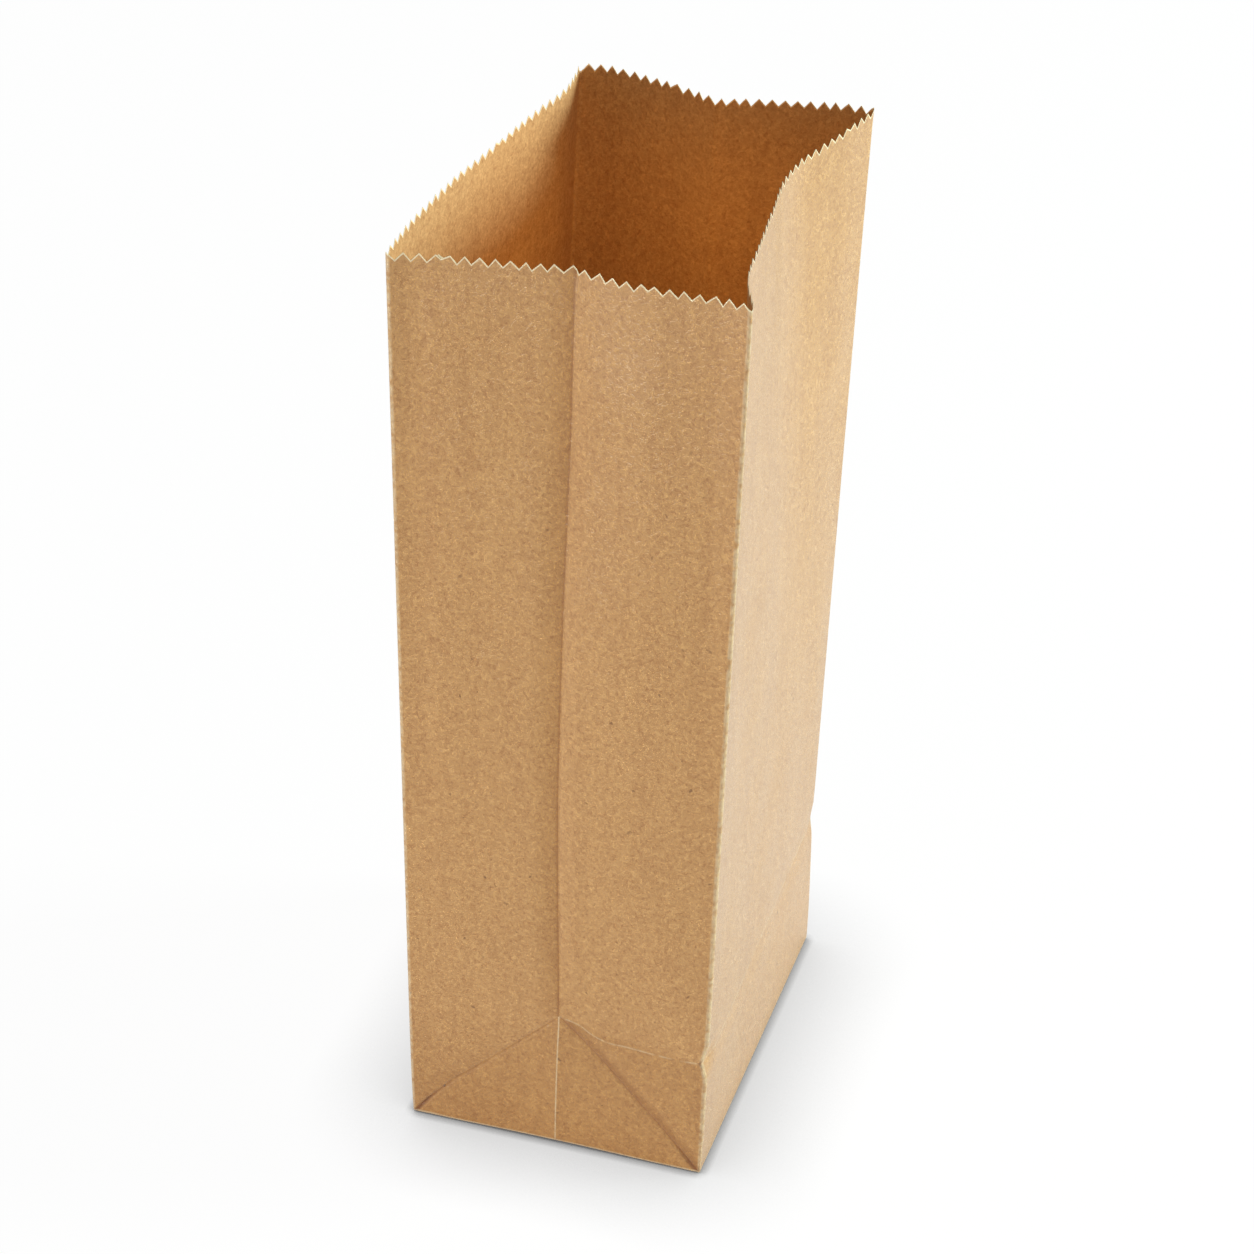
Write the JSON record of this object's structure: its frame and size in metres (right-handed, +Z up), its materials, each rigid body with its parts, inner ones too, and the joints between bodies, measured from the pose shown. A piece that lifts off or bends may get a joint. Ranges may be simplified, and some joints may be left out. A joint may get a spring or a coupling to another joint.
{
  "type": "paper bag",
  "caption": "Upright brown paper bag with a flat folded base, creased side gussets and an open mouth cut to a zigzag.",
  "frame": {"origin": "centre of the folded base, on the plane that the bag stands on", "axes": "+X along the wide panels, +Y from the front panel to the back panel, +Z up to the mouth"},
  "size_m": [0.1554, 0.1172, 0.344],
  "materials": {
    "kraft_paper": "matt, uncoated, unbleached"
  },
  "bodies": {
    "root": {"paper_bag": "kraft_paper"}
  },
  "joints": []
}
